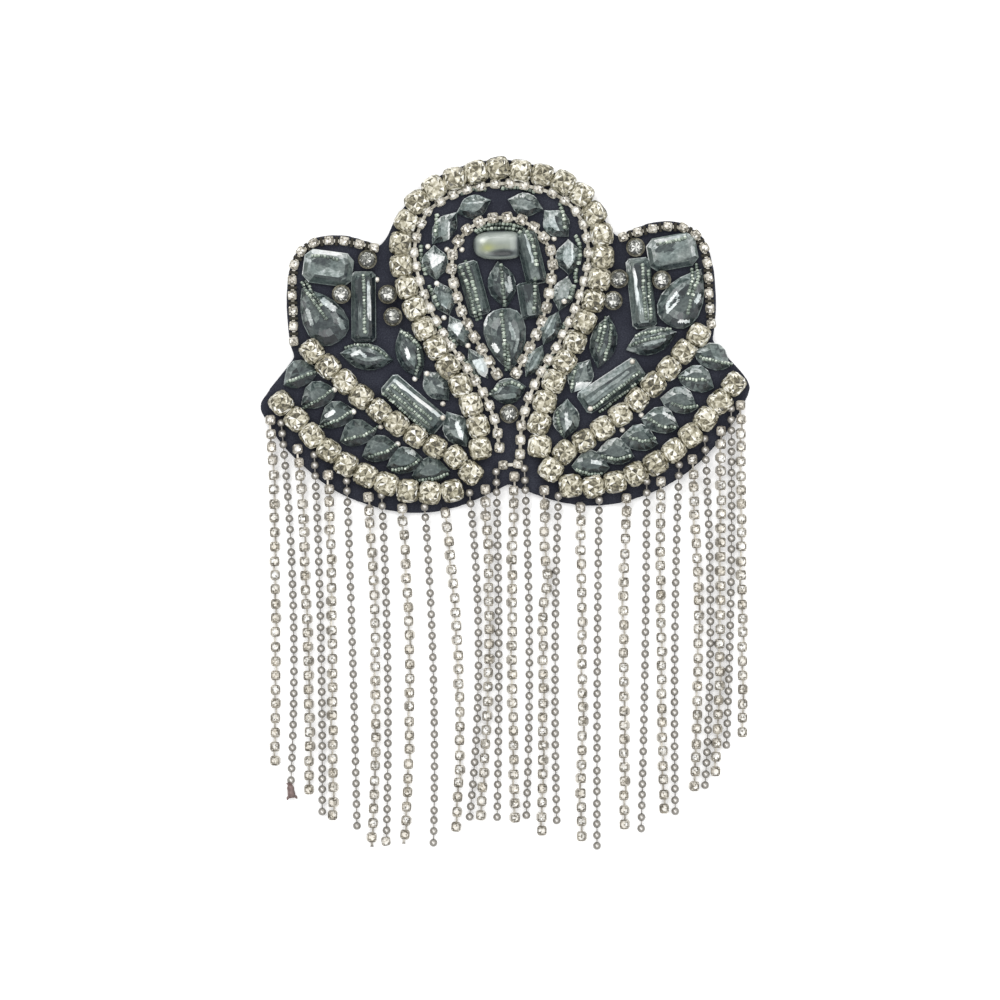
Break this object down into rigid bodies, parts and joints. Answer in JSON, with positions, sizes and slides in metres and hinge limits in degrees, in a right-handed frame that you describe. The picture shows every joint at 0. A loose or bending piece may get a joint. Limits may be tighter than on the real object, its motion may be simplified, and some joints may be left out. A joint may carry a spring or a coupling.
{
  "type": "jewelled fringe epaulette",
  "caption": "Felt shoulder patch set with claw-set stones, faceted gems and cup chain, with a long fringe of cup chain and ball chain, lying flat.",
  "frame": {"origin": "middle of the felt patch's flat back, midway between its tips and between its dome and scallops", "axes": "+Y up the patch from the fringe to the dome, +Z out of the jewelled face, +X to the right as seen from the front"},
  "size_m": [0.1415, 0.1978, 0.0063],
  "materials": {
    "felt": "matt felt",
    "claw_stones": "foil-backed champagne stones in silver claws",
    "cup_chain": "bright silver cups",
    "ball_chain": "gunmetal",
    "chatons": "foil-backed grey stones",
    "grey_gems": "faceted smoky grey",
    "pale_gem": "faceted pale iridescent"
  },
  "bodies": {
    "root": {"felt_backing": "felt", "centre_octagon": "pale_gem", "loop_stones": "claw_stones", "diagonal_stones_left": "claw_stones", "diagonal_stones_right": "claw_stones", "hem_stones_left": "claw_stones", "hem_stones_right": "claw_stones", "lining_chain": "cup_chain", "arch_chain": "cup_chain", "wing_chain_left": "cup_chain", "wing_chain_right": "cup_chain", "foot_cups": "cup_chain", "cup_strands_left": "cup_chain", "cup_strands_middle": "cup_chain", "cup_strands_right": "cup_chain", "ball_strands_left": "ball_chain", "ball_strands_middle": "ball_chain", "ball_strands_right": "ball_chain", "chatons_left": "chatons", "chatons_right": "chatons", "foot_chaton": "chatons", "band_gems_left": "grey_gems", "band_gems_right": "grey_gems", "centre_navette": "grey_gems", "centre_pear": "grey_gems", "slim_baguette_left": "grey_gems", "slim_baguette_right": "grey_gems", "slim_baguette_low": "grey_gems", "foot_navette": "grey_gems", "wing_octagon_left": "grey_gems", "wing_octagon_right": "grey_gems", "wing_pear_left": "grey_gems", "wing_pear_right": "grey_gems", "wing_baguette_left": "grey_gems", "wing_baguette_right": "grey_gems", "wing_navette_left": "grey_gems", "wing_navette_right": "grey_gems", "side_navette_left": "grey_gems", "side_navette_right": "grey_gems", "diagonal_baguette_left": "grey_gems", "diagonal_baguette_right": "grey_gems", "diagonal_petal_left": "grey_gems", "diagonal_petal_right": "grey_gems", "foot_petal_left": "grey_gems", "foot_petal_right": "grey_gems", "ring_gem_left_1": "grey_gems", "ring_gem_left_2": "grey_gems", "ring_gem_left_3": "grey_gems", "ring_gem_left_4": "grey_gems", "ring_gem_left_5": "grey_gems", "ring_gem_left_6": "grey_gems", "ring_gem_right_1": "grey_gems", "ring_gem_right_2": "grey_gems", "ring_gem_right_3": "grey_gems", "ring_gem_right_4": "grey_gems", "ring_gem_right_5": "grey_gems", "ring_gem_right_6": "grey_gems"}
  },
  "joints": []
}
